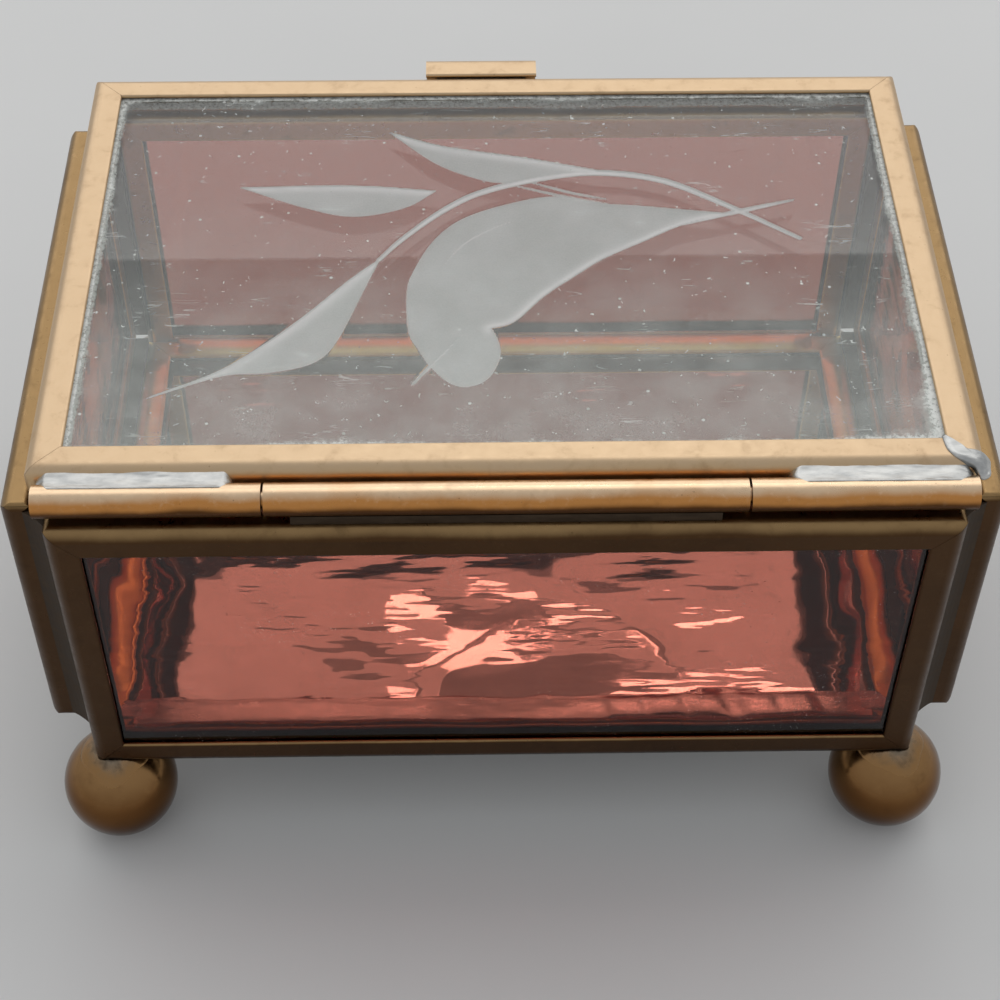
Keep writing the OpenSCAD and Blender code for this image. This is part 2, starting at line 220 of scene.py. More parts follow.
def aged_brass(
    name, worn_lit_top, side, deep, rough=(0.24, 0.40), tarnish=0.35, inside_highlight=None, turn=(-0.5, 0.15, 0.2, 0.95),
):
    """Brass with painted light: the pale top tone on faces that look up is partly wear and partly painted
    highlight, the browner side tone and the darkest tone on faces that look down are painted shade, and
    tarnish patches and pits take the darkest tone too. turn is how far up a face looks where the darkest tone
    ends and the side tone begins, and where the side tone ends and the top tone begins. The tone for faces
    that look into the box is a warm painted highlight."""
    n = Nodes(name)
    place = n.place()
    normal_out = n.add("TexCoord").outputs["Normal"]
    facing = n.add("SeparateXYZ", {"Vector": normal_out}).outputs["Z"]
    drift = n.noise(place, 7 * MM, detail=3)
    patches = n.noise(place, 1.8 * MM, detail=7, roughness=0.65, distortion=0.3)
    mottle = n.noise(place, 0.55 * MM, detail=5, roughness=0.7)
    grain = n.noise(place, 0.22 * MM, detail=3)
    pits = n.ramp(n.cells(place, 1.3 * MM), 0.02, 0.07, 1.0, 0.0)
    # Painted light: how far a face looks up, with a random drift, picks the tone: the top tone is painted
    # highlight, the side and darkest tones painted shade
    lit_and_drift = n.math("ADD", facing, n.times(n.math("SUBTRACT", drift, 0.5), 0.7))
    deep_below, side_from, side_to, lit_top_above = turn
    colour = n.mix(n.ramp(lit_and_drift, side_to, lit_top_above), side, worn_lit_top)
    colour = n.mix(n.ramp(lit_and_drift, deep_below, side_from, 0.9, 0.0), colour, deep)
    # Faces that look into the box get a warm painted highlight, standing in for light caught inside
    if inside_highlight is not None:
        colour = n.mix(faces_inward(n, place, normal_out), colour, inside_highlight)
    # Lighter mottled patches, strongest on faces that look up: partly wear, partly painted highlight
    brighter_lit_top = tuple(min(c * 1.12, 1.0) for c in worn_lit_top)
    handled_and_lit = n.times(n.ramp(mottle, 0.52, 0.75, 0.0, 0.45), n.ramp(lit_and_drift, 0.2, 0.95, 0.12, 1.0))
    colour = n.mix(handled_and_lit, colour, brighter_lit_top)
    colour = n.mix(n.times(n.ramp(patches, 0.52, 0.78), tarnish), colour, deep)
    colour = n.mix(n.times(pits, 0.4), colour, deep)
    dull = n.math("ADD", n.times(patches, 0.5), n.times(mottle, 0.5))
    dents = n.noise(n.stretched(place, (0.35, 0.35, 0.35)), 2.2 * MM, detail=2)
    height = n.math("ADD", n.times(grain, 0.01), n.times(mottle, 0.03))
    height = n.math("ADD", height, n.times(dents, 0.55))
    height = n.math("SUBTRACT", height, n.times(pits, 0.04))
    inputs = {
        "Base Color": colour,
        "Metallic": 1.0,
        "Roughness": n.ramp(dull, 0.35, 0.65, *rough),
        "Normal": n.bump(height, 0.30 * MM, 0.5),
    }
    return n.finish(n.add("BsdfPrincipled", inputs).outputs[0])


def solder_metal(name, low, high, spots, spots_from, rough=(0.30, 0.45), metallic=1.0, shine=0.5):
    """Tin-lead solder between two tones, with frosty streaks, spots of another tone and a lumpy skin."""
    n = Nodes(name)
    place = n.place()
    swell = n.noise(place, 1.6 * MM, detail=2)
    frost = n.noise(n.stretched(place, (0.35, 1.0, 1.0)), 0.7 * MM, detail=5, roughness=0.6)
    stain = n.noise(place, 0.9 * MM, detail=4, roughness=0.55, distortion=0.4)
    flux = n.ramp(stain, spots_from, spots_from + 0.13)
    colour = n.mix(n.ramp(frost, 0.3, 0.75), low, high)
    colour = n.mix(n.times(flux, 0.6), colour, spots)
    inputs = {
        "Base Color": colour,
        "Metallic": metallic,
        "Roughness": n.ramp(frost, 0.3, 0.7, *rough),
        "Specular IOR Level": shine,
        "Normal": n.bump(n.math("ADD", swell, n.times(frost, 0.03)), 0.06 * MM, 0.3),
    }
    return n.finish(n.add("BsdfPrincipled", inputs).outputs[0])


def foot_solder(name, low, high, ball):
    """Dull solder that thins out into a ball's brass. The attribute rim grows to 1 where it ends."""
    n = Nodes(name)
    frost = n.noise(n.place(), 0.9 * MM, detail=5, roughness=0.6)
    rim = n.add("Attribute", attribute_name="rim").outputs["Fac"]
    uneven = n.times(n.math("SUBTRACT", frost, 0.5), 0.8)
    thin = n.ramp(n.math("ADD", rim, uneven), 0.35, 0.95)
    colour = n.mix(thin, n.mix(n.ramp(frost, 0.3, 0.75), low, high), ball)
    rough = n.ramp(thin, 0.0, 1.0, 0.42, 0.20)
    shader = n.add("BsdfPrincipled", {"Base Color": colour, "Metallic": 1.0, "Roughness": rough})
    return n.finish(shader.outputs[0])


def clear_principled(n, tint, ior, rough=0.0, **more):
    """Glass of one tint. more holds further inputs."""
    inputs = {"Base Color": rgba(tint), "Roughness": rough, "IOR": ior, "Transmission Weight": 1.0, **more}
    return n.add("BsdfPrincipled", inputs)


def see_through(n, glass, tint):
    """Lets lamp light through the glass, tinted, so that what is behind it is lit."""
    clear = n.add("BsdfTransparent", {"Color": rgba(tint)})
    path = n.add("LightPath")
    mixed = n.add("MixShader", {0: path.outputs["Is Shadow Ray"], 1: glass, 2: clear.outputs[0]})
    return mixed.outputs[0]


def rose_glass(name, tint):
    """Rose sheet glass with fine drawn ripples, dust and dried specks."""
    n = Nodes(name)
    place = n.place()
    long_ripples = n.noise(n.stretched(place, (0.25, 0.25, 1.2)), 1.3 * MM, detail=1.5, roughness=0.4)
    where_rippled = n.ramp(n.noise(place, 9 * MM, detail=2), 0.38, 0.62)
    normal = n.bump(n.times(long_ripples, where_rippled), 0.10 * MM, 0.55)
    dust = n.ramp(n.noise(place, 0.13 * MM, detail=2), 0.66, 0.74)
    where = n.ramp(n.noise(place, 7 * MM, detail=3), 0.44, 0.66)
    points = n.ramp(n.cells(place, 0.75 * MM), 0.05, 0.10, 1.0, 0.0)
    specks = n.times(n.math("MAXIMUM", dust, points), where)
    glass = clear_principled(n, tint, ROSE_IOR, Normal=normal)
    dirt = n.add("BsdfDiffuse", {"Color": rgba((0.80, 0.58, 0.52))})
    mixed = n.add("MixShader", {0: n.times(specks, 0.5), 1: glass.outputs[0], 2: dirt.outputs[0]})
    return n.finish(see_through(n, mixed.outputs[0], tint))


def silvering(name):
    """The back of a mirror: silver seen through the glass, grey paint seen from below."""
    n = Nodes(name)
    place = n.place()
    cloud = n.noise(place, 4 * MM, detail=4)
    silver_colour = n.mix(n.ramp(cloud, 0.4, 0.8), (0.90, 0.91, 0.91), (0.80, 0.81, 0.80))
    silver = n.add("BsdfPrincipled", {"Base Color": silver_colour, "Metallic": 1.0, "Roughness": 0.02})
    scuffs = n.ramp(n.noise(n.stretched(place, (1.0, 5.0, 1.0)), 3 * MM, detail=7, roughness=0.7), 0.5, 0.7)
    paint_colour = n.mix(scuffs, (0.24, 0.25, 0.26), (0.36, 0.36, 0.35))
    paint = n.add("BsdfPrincipled", {"Base Color": paint_colour, "Roughness": 0.6})
    from_inside = n.add("NewGeometry").outputs["Backfacing"]
    mixed = n.add("MixShader", {0: from_inside, 1: paint.outputs[0], 2: silver.outputs[0]})
    return n.finish(mixed.outputs[0])


def mirror_front(name):
    """The clear glass over the silvering, with dust lying on it."""
    n = Nodes(name)
    place = n.place()
    dust = n.ramp(n.noise(place, 0.16 * MM, detail=2), 0.66, 0.76)
    dusty = n.ramp(n.noise(place, 6 * MM, detail=3), 0.4, 0.65)
    tint = (0.93, 0.96, 0.94)
    glass = clear_principled(n, tint, CLEAR_IOR)
    dirt = n.add("BsdfDiffuse", {"Color": (0.7, 0.68, 0.64, 1.0)})
    cover = n.times(n.times(dust, dusty), 0.45)
    mixed = n.add("MixShader", {0: cover, 1: glass.outputs[0], 2: dirt.outputs[0]})
    return n.finish(see_through(n, mixed.outputs[0], tint))


def edge_residue(n, place, parts, ragged, half_w, half_d, centre):
    """White residue along the pane's edges, wider in places and at the corner where the solder ran over."""
    across = n.math("ABSOLUTE", n.math("SUBTRACT", parts.outputs["X"], centre[0]))
    along = n.math("ABSOLUTE", n.math("SUBTRACT", parts.outputs["Y"], centre[1]))
    edge = n.math("MINIMUM", n.math("SUBTRACT", half_w, across), n.math("SUBTRACT", half_d, along))
    broad = n.ramp(n.noise(place, 7 * MM, detail=3), 0.45, 0.75)
    corner = (centre[0] - half_w, centre[1] + half_d, 0.0)
    level = n.add("VectorMath", {0: place, 1: (1.0, 1.0, 0.0)}, operation="MULTIPLY").outputs[0]
    from_corner = n.add("VectorMath", {0: level, 1: corner}, operation="DISTANCE").outputs["Value"]
    near_corner = n.ramp(from_corner, 1.5 * MM, 11 * MM, 1.0, 0.0)
    reach = n.math("ADD", n.times(broad, 1.5 * MM), n.times(near_corner, 1.6 * MM))
    inward = n.math("DIVIDE", edge, n.math("ADD", 0.35 * MM, reach))
    glow = n.math("POWER", n.ramp(inward, 0.0, 1.0, 1.0, 0.0), 1.8)
    crumbs = n.ramp(n.math("ADD", ragged, n.times(glow, 0.30)), 0.66, 0.76)
    body = n.math("ADD", n.ramp(ragged, 0.3, 0.7, 0.15, 0.55), n.times(crumbs, 0.4))
    return n.times(glow, body)


def lid_dirt(n, place):
    """Dust, curls of lint, specks and fine scratches that lie on the lid's glass."""
    dust = n.ramp(n.noise(place, 0.14 * MM, detail=2), 0.68, 0.76)
    dusty = n.ramp(n.noise(place, 8 * MM, detail=4), 0.42, 0.66)
    curls = n.near_half(n.noise(place, 1.2 * MM, detail=1), 0.010, 0.024)
    curls = n.times(curls, n.ramp(n.noise(place, 0.9 * MM, detail=2), 0.66, 0.70))
    specks = n.ramp(n.cells(place, 3.1 * MM), 0.035, 0.06, 1.0, 0.0)
    fine = n.ramp(n.cells(place, 1.15 * MM), 0.05, 0.09, 1.0, 0.0)
    fine = n.times(fine, n.ramp(n.noise(place, 4 * MM, detail=2), 0.52, 0.62))
    specks = n.math("MAXIMUM", specks, fine)
    drawn = n.noise(n.stretched(place, (0.10, 1.0, 1.0)), 1.3 * MM, detail=2, distortion=0.2)
    scratches = n.near_half(drawn, 0.004, 0.012)
    scratches = n.times(scratches, n.ramp(n.noise(place, 3.5 * MM, detail=3), 0.58, 0.66))
    dirt = n.math("MAXIMUM", n.times(n.times(dust, dusty), 0.5), n.times(curls, 0.75))
    dirt = n.math("MAXIMUM", dirt, n.times(specks, 0.7))
    return n.math("MAXIMUM", dirt, n.times(scratches, 0.35))


def frosted_cut(n, place):
    """Clear glass that turns to ground white where the attribute cut is high."""
    cut = n.add("Attribute", attribute_name="cut").outputs["Fac"]
    grain = n.noise(place, 0.16 * MM, detail=3)
    cloud = n.noise(place, 3.5 * MM, detail=3)
    glass = clear_principled(n, (0.95, 0.97, 0.96), CLEAR_IOR, rough=n.ramp(cut, 0.0, 0.4, 0.0, 0.55))
    # Grey to white as the cut rises past 0.58; along the leaves' deep edges this is a painted highlight
    tone = n.mix(n.ramp(cut, 0.58, 1.0), (0.52, 0.56, 0.54), (1.0, 1.0, 0.99))
    tone = n.mix(n.ramp(cloud, 0.3, 0.7, 0.0, 0.5), tone, (0.70, 0.73, 0.72))
    ground = n.bump(grain, 0.02 * MM, 0.4)
    surface = n.add("BsdfPrincipled", {"Base Color": tone, "Roughness": 0.6, "Normal": ground})
    through = n.add("BsdfTranslucent", {"Color": (0.90, 0.93, 0.92, 1.0), "Normal": ground})
    frost = n.add("MixShader", {0: 0.35, 1: surface.outputs[0], 2: through.outputs[0]})
    cover = n.times(n.ramp(cut, 0.0, 0.5), n.ramp(grain, 0.3, 0.7, 0.72, 0.90))
    return n.add("MixShader", {0: cover, 1: glass.outputs[0], 2: frost.outputs[0]})


def engraved_glass(name, half_w, half_d, centre):
    """The lid's clear glass: its frosted cuts, the dirt and film on it, and the residue along its edges."""
    n = Nodes(name)
    place = n.place()
    parts = n.add("SeparateXYZ", {"Vector": place})
    ragged = n.noise(place, 0.45 * MM, detail=6, roughness=0.75)
    residue = edge_residue(n, place, parts, ragged, half_w, half_d, centre)
    toward_hinge = n.ramp(parts.outputs["Y"], -14 * MM, 20 * MM, 0.02, 0.26)
    smears = n.noise(place, 5 * MM, detail=6, roughness=0.65)
    film = n.times(toward_hinge, n.ramp(smears, 0.3, 0.7, 0.7, 1.3))
    dirt = n.math("ADD", n.math("MAXIMUM", lid_dirt(n, place), residue), film, clamp=True)
    white = n.mix(n.math("MAXIMUM", residue, ragged), (0.46, 0.49, 0.45), (0.88, 0.90, 0.87))
    crust = n.add("BsdfPrincipled", {"Base Color": white, "Roughness": 0.8})
    frosted = frosted_cut(n, place)
    dirty = n.add("MixShader", {0: dirt, 1: frosted.outputs[0], 2: crust.outputs[0]})
    return n.finish(see_through(n, dirty.outputs[0], (0.93, 0.95, 0.94)))


def plain_floor(name):
    """A pale matt floor with faint drifts of tone."""
    n = Nodes(name)
    place = n.place()
    tone = n.noise(place, 60 * MM, detail=4)
    colour = n.mix(tone, (0.68, 0.68, 0.67), (0.74, 0.74, 0.73))
    shader = n.add("BsdfPrincipled", {"Base Color": colour, "Roughness": 0.85})
    return n.finish(shader.outputs[0])


# ---------------------------------------------------------------- curves for the engraving


def curve_through(points, steps=8):
    """A Catmull-Rom curve through points."""
    p = np.array(points, float)
    p = np.vstack([2 * p[0] - p[1], p, 2 * p[-1] - p[-2]])
    t = np.linspace(0, 1, steps, endpoint=False)[:, None]
    runs = []
    for a, b, c, d in zip(p[:-3], p[1:-2], p[2:-1], p[3:]):
        square = (2 * a - 5 * b + 4 * c - d) * t**2
        cube = (3 * b - a - 3 * c + d) * t**3
        runs.append(0.5 * (2 * b + (c - a) * t + square + cube))
    return np.vstack(runs + [p[-2:-1]])


def distance_to_line(x, y, line):
    """(distance, how far along from 0 to 1) from each point to an open line."""
    best = np.full(x.shape, 1e9)
    along = np.zeros(x.shape)
    lengths = np.hypot(*np.diff(line, axis=0).T)
    total = lengths.sum()
    walked = 0.0
    for (ax, ay), (bx, by), length in zip(line[:-1], line[1:], lengths):
        dx, dy = bx - ax, by - ay
        t = np.clip(((x - ax) * dx + (y - ay) * dy) / max(length * length, 1e-12), 0, 1)
        d = np.hypot(x - ax - t * dx, y - ay - t * dy)
        nearer = d < best
        best = np.where(nearer, d, best)
        along = np.where(nearer, (walked + t * length) / total, along)
        walked += length
    return best, along


def inside(x, y, outline):
    """True for each point within a closed outline."""
    hit = np.zeros(x.shape, bool)
    for (ax, ay), (bx, by) in zip(outline, np.roll(outline, -1, axis=0)):
        if ay == by:
            continue
        crosses = (ay > y) != (by > y)
        hit ^= crosses & (x < (bx - ax) * (y - ay) / (by - ay) + ax)
    return hit


# ---------------------------------------------------------------- lid glass with its wheel-cut spray

# Each leaf is cut between two edges, from tip to tip, in millimetres along X and Y of the frame.
# The first edge is the deep one, where the wheel was pressed in.
LEAVES = [
    {
        "deep": [(23.2, -11.4), (13.1, -11.5), (5.7, -10.7)],
        "other": [(5.7, -10.7), (8.5, -8.4), (13.0, -7.3), (17.5, -8.6), (23.2, -11.4)],
    },
    {
        "deep": [(10.6, -1.5), (13.0, 1.0), (16.7, 5.5), (20.2, 9.2), (23.7, 12.2), (29.1, 15.1)],
        "other": [
            (29.1, 15.1), (23.2, 12.6), (19.5, 12.3), (15.8, 11.2), (13.9, 8.6), (11.8, 2.3), (10.6, -1.5),
        ],
    },
    {
        "deep": [(9.9, -19.1), (4.9, -17.0), (-2.4, -15.3), (-9.2, -13.4)],
        "other": [(-9.2, -13.4), (-4.3, -12.6), (-0.5, -11.8), (2.2, -12.5), (5.8, -14.7), (9.9, -19.1)],
    },
    {
        "deep": [
            (1.0, 7.2), (-1.0, 6.4), (-3.6, 3.3), (-6.3, 0.8), (-9.0, -1.5), (-12.6, -3.7), (-16.3, -5.9),
            (-20.4, -7.3),
        ],
        "other": [
            (-20.4, -7.3), (-12.9, -8.4), (-9.4, -8.8), (-5.0, -9.8), (-1.0, -8.9), (3.2, -6.9), (5.8, -4.0),
            (7.5, -0.1), (8.1, 2.7), (7.9, 7.5), (7.1, 9.6), (6.0, 11.8), (4.4, 13.7), (2.9, 14.1),
            (1.3, 13.2), (0.3, 10.8), (0.4, 8.8), (1.0, 7.2),
        ],
    },
]
# The long stem, then each stroke: its line, and its half width at the middle and at both ends
STEM = [
    (10.6, -1.5), (8.5, -4.3), (4.9, -8.1), (1.3, -10.6), (-4.3, -12.5), (-9.3, -13.1), (-14.9, -11.9),
    (-20.4, -8.4), (-26.4, -3.9),
]
STROKES = [
    (STEM, 0.38, 0.16),
    ([(-16.3, -5.9), (-20.4, -7.3), (-26.4, -9.1)], 0.24, 0.07),
    ([(-1.4, -11.4), (-5.9, -9.8), (-9.8, -8.7)], 0.11, 0.04),
    ([(-3.0, -11.8), (-6.3, -10.4), (-9.6, -9.4)], 0.11, 0.04),
    ([(7.5, 13.8), (6.2, 11.9), (3.1, 7.5)], 0.14, 0.06),
    ([(5.6, 0.3), (3.3, -3.4), (0.5, -5.7), (-2.4, -7.1)], 0.16, 0.05),
]


# Millimetres: the spacing of the lid's mesh, the width over which a cut fades out at its edge, the width of a
# leaf's bevel, a leaf's depth and how much deeper its pressed edge is, and a stroke's depth
LID_STEP = 0.17
CUT_FADE = 0.22
BEVEL = 0.5
LEAF_DEPTH = 0.05
LEAF_EXTRA = 0.07
STROKE_DEPTH = 0.10
# How far in, in metres, the residue starts from the front and back edges of the pane
RESIDUE_INSET = 2.1 * MM


def cut_field(x, y):
    """(depth in mm, frost from 0 to 1) of the engraving at each point of the lid. A leaf's frost rises towards
    its deep edge, a painted highlight along the cut's steep wall.
    """
    depth = np.zeros(x.shape)
    frost = np.zeros(x.shape)
    for leaf in LEAVES:
        deep = curve_through(leaf["deep"])
        outline = np.vstack([deep, curve_through(leaf["other"])])
        within = inside(x, y, outline)
        edge, _ = distance_to_line(x, y, np.vstack([outline, outline[:1]]))
        from_deep, _ = distance_to_line(x, y, deep)
        bevel = np.clip(edge / BEVEL, 0, 1)
        cover = np.clip(0.5 + np.where(within, edge, -edge) / CUT_FADE, 0, 1)
        depth = np.maximum(depth, within * bevel * (LEAF_DEPTH + LEAF_EXTRA * np.exp(-from_deep / 1.4)))
        # Frost whitens towards the deep edge: a painted highlight along the cut's steep wall
        frost = np.maximum(frost, cover * (0.58 + 0.42 * np.exp(-(from_deep / 0.75) ** 1.5)))
    for line, middle, ends in STROKES:
        away, along = distance_to_line(x, y, curve_through(line))
        half = ends + (middle - ends) * np.sin(np.pi * along)
        groove = np.clip(1 - away / half, 0, 1)
        depth = np.maximum(depth, depth * 0.6 + groove * STROKE_DEPTH)
        frost = np.maximum(frost, np.clip((half - away) / CUT_FADE + 0.5, 0, 1) * (0.7 + 0.3 * groove))
    return depth, frost


def lid_faces(columns, rows):
    """Faces of the lid glass: the fine grid on top, four sides and one face below.
    The four vertices below follow those of the grid."""
    count = columns * rows
    sides = [
        list(range(columns)),
        [columns * (r + 1) - 1 for r in range(rows)],
        [columns * (rows - 1) + c for c in range(columns - 1, -1, -1)],
        [columns * r for r in range(rows - 1, -1, -1)],
    ]
    faces = grid_faces(columns, rows)
    for i, side in enumerate(sides):
        faces.append(side[::-1] + [count + i, count + (i + 1) % 4])
    faces.append([count + 3, count + 2, count + 1, count])
    return faces


def engraved_lid():
    """The lid's pane with the spray cut into its top. The attribute cut holds how frosted each vertex is,
    with a painted highlight along the leaves' deep edges.
    """
    low, high = box_mm("lid_glass")
    xs = np.linspace(low[0], high[0], int((high[0] - low[0]) / LID_STEP))
    ys = np.linspace(low[1], high[1], int((high[1] - low[1]) / LID_STEP))
    x, y = np.meshgrid(xs, ys)
    depth, frost = cut_field(x, y)
    top = np.column_stack([x.ravel(), y.ravel(), (high[2] - depth).ravel()]) * MM
    corners = np.array([(low[0], low[1]), (high[0], low[1]), (high[0], high[1]), (low[0], high[1])])
    under = np.column_stack([corners, np.full(4, low[2])]) * MM
    half_w = (RAIL_HIGH[0] - RAIL_LOW[0]) / 2 - CAME_FACE * MM
    half_d = (high[1] - low[1]) / 2 * MM - RESIDUE_INSET
    material = engraved_glass("engraved_clear_glass", half_w, half_d, LID_CENTRE)
    faces = lid_faces(len(xs), len(ys))
    glass = new_object("lid_glass_engraved", np.vstack([top, under]), faces, material)
    for side_or_under in glass.data.polygons[-5:]:
        side_or_under.use_smooth = False
    attribute = glass.data.attributes.new("cut", "FLOAT", "POINT")
    attribute.data.foreach_set("value", np.concatenate([frost.ravel(), np.zeros(4)]))
    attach(glass, "lid")
    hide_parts("lid_glass")


# ---------------------------------------------------------------- wavy rose panes


# Millimetres: the height of the waves, the spacing of the mesh, the width at the edge that the channel holds
# flat, and the width over which the waves then grow
WAVE_HEIGHT = 0.17
PANE_STEP = 0.45
PANE_HELD = 2.6
PANE_EASE = 3.0


def waves(u, v, seed):
    """Height of the rolled surface in millimetres, over u and v in millimetres."""
    rng = np.random.default_rng(seed)
    height = np.zeros(u.shape)
    for wavelength, share in ((18, 1.0), (11, 0.6), (7, 0.25), (4.5, 0.08)):
        for _ in range(3):
            angle = rng.normal(0, 0.9)
            phase = rng.uniform(0, 2 * math.pi)
            bend = rng.uniform(0.6, 1.6)
            across = u * math.cos(angle) + v * math.sin(angle)
            other = v * math.cos(angle) - u * math.sin(angle)
            sway = bend * np.sin(2 * math.pi * other / (wavelength * 2.3))
            height += share * np.sin(2 * math.pi * across / wavelength + phase + sway)
    return height / 4.5


def wavy_pane(node, seed):
    """A pane of rose glass in the place of a node, wavy on both faces and flat where the channel holds it."""
    low, high = box_mm(node)
    size = high - low
    thin = int(np.argmin(size))
    axes = [i for i in range(3) if i != thin]
    us = np.linspace(low[axes[0]], high[axes[0]], int(size[axes[0]] / PANE_STEP))
    vs = np.linspace(low[axes[1]], high[axes[1]], int(size[axes[1]] / PANE_STEP))
    u, v = np.meshgrid(us, vs)
    edge = np.minimum(np.minimum(u - us[0], us[-1] - u), np.minimum(v - vs[0], vs[-1] - v))
    free = np.clip((edge - PANE_HELD) / PANE_EASE, 0, 1)
    free = free * free * (3 - 2 * free)
    top = high[thin] + free * WAVE_HEIGHT * waves(u, v, seed)
    bottom = low[thin] + free * WAVE_HEIGHT * 0.7 * waves(u, v, seed + 50)

    def place(a, b, w):
        spot = np.zeros((len(a), 3))
        spot[:, axes[0]], spot[:, axes[1]], spot[:, thin] = a, b, w
        return spot * MM

    pane = slab(node + "_wavy", us, vs, top, bottom, place, ROSE)
    if thin == 1:
        pane.data.flip_normals()
    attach(pane, "box")
    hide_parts(node)


def silvered_mirror():
    """The base pane as a block of glass with its underside silvered."""
    low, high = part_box("base_mirror")
    xs, ys, zs = zip(low, high)
    corners = [(x, y, z) for z in zs for y in ys for x in xs]
    faces = [(4, 5, 7, 6), (0, 1, 5, 4), (1, 3, 7, 5), (3, 2, 6, 7), (2, 0, 4, 6), (0, 2, 3, 1)]
    mirror = new_object("base_mirror_block", corners, faces, MIRROR_FRONT, smooth=False)
    mirror.data.materials.append(SILVERING)
    underside = mirror.data.polygons[-1]
    underside.material_index = 1
    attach(mirror, "box")
    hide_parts("base_mirror")


# ---------------------------------------------------------------- solder run in by hand


def lumps(x, y, seed, size):
    """Smooth random lumps between about -1 and 1, over x and y in millimetres."""
    rng = np.random.default_rng(seed)
    height = np.zeros(x.shape)
    for octave, share in ((1.0, 0.55), (0.5, 0.3), (0.25, 0.15)):
        for _ in range(5):
            angle = rng.uniform(0, math.pi)
            phase = rng.uniform(0, 2 * math.pi, 2)
            wave = 2 * math.pi / (size * octave * rng.uniform(0.8, 1.4))
            along = x * math.cos(angle) + y * math.sin(angle)
            across = y * math.cos(angle) - x * math.sin(angle)
            sway = 0.8 * np.sin(wave * 0.6 * across + phase[1])
            height += share / 2.2 * np.sin(wave * along + phase[0] + sway)
    return height


# Millimetres: the thinnest that any solder gets, so that its two faces never meet, and how far a ribbon at
# the hinge reaches over the lid's rail and back over the tube
THINNEST = 0.02
RIBBON_OVER_RAIL = 0.85
RIBBON_OVER_TUBE = 1.45


def hinge_strip(node, seed):
    """The ribbon of solder that fills the valley between the lid's back rail and an outer knuckle."""
    low, high = box_mm(node)
    rail_back = RAIL_HIGH[1] / MM
    rail_top = RAIL_HIGH[2] / MM
    tube_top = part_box("hinge_knuckle_left")[1][2] / MM
    xs = np.linspace(low[0], high[0], 220)
    ys = np.linspace(rail_back - RIBBON_OVER_RAIL, rail_back + RIBBON_OVER_TUBE, 30)
    x, y = np.meshgrid(xs, ys)
    across = (y - ys[0]) / (ys[-1] - ys[0])
    start, finish = rail_top - 0.22, tube_top + 0.05
    hollow = 0.24 * np.sin(math.pi * across)
    top = start + (finish - start) * across - hollow
    top += 0.035 * lumps(x * 0.5, y * 1.6, seed, 3.0) + 0.006 * lumps(x, y, seed + 9, 1.4)
    to_end = np.minimum(x - xs[0], xs[-1] - x)
    rounded = to_end - 0.7 * (2 * across - 1) ** 2 + 0.15 * lumps(x, y, seed + 4, 2.2)
    top -= 1.6 * (1 - np.sqrt(1 - np.clip(1 - rounded / 0.9, 0, 1) ** 2))
    bottom = np.full(x.shape, low[2] + 0.1)

    def place(a, b, w):
        return np.column_stack([a, b, w]) * MM

    ribbon = slab(node + "_run", xs, ys, top, np.minimum(bottom, top - THINNEST), place, SOLDER)
    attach(ribbon, "lid")
    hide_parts(node)


def dome(name, x, y, top, bottom, material):
    """A closed cap. x, y, top and bottom are rings of points in millimetres, the first around its middle."""
    rings, count = x.shape
    verts = [(x[0].mean(), y[0].mean(), z[0].mean()) for z in (top, bottom)]
    for z in (top, bottom):
        verts += list(zip(x.ravel(), y.ravel(), z.ravel()))
    faces = []
    below = rings * count
    for t in range(count):
        u = (t + 1) % count
        faces += [(0, 2 + t, 2 + u), (1, 2 + below + u, 2 + below + t)]
        for k in range(rings - 1):
            a, b = 2 + k * count, 2 + (k + 1) * count
            faces.append((a + t, b + t, b + u, a + u))
            faces.append((a + below + u, b + below + u, b + below + t, a + below + t))
        a = 2 + (rings - 1) * count
        faces.append((a + t, a + below + t, a + below + u, a + u))
    return new_object(name, np.array(verts) * MM, faces, material)


# Outline of the blob of solder over the lid's back left corner, and its middle, in millimetres
CORNER_BLOB = [
    (-34.9, 21.2), (-35.1, 22.2), (-35.6, 22.9), (-36.4, 23.4), (-37.05, 23.75), (-37.5, 24.35),
    (-38.3, 24.2), (-38.5, 23.5), (-38.4, 22.3), (-36.6, 22.1), (-36.0, 21.4), (-35.0, 20.5),
]
BLOB_MIDDLE = (-37.1, 22.95)
# How far the blob drops over the lid's back and left edges, and over what width, in millimetres
BACK_DROP = (0.75, 1.9)
LEFT_DROP = (0.85, 1.6)


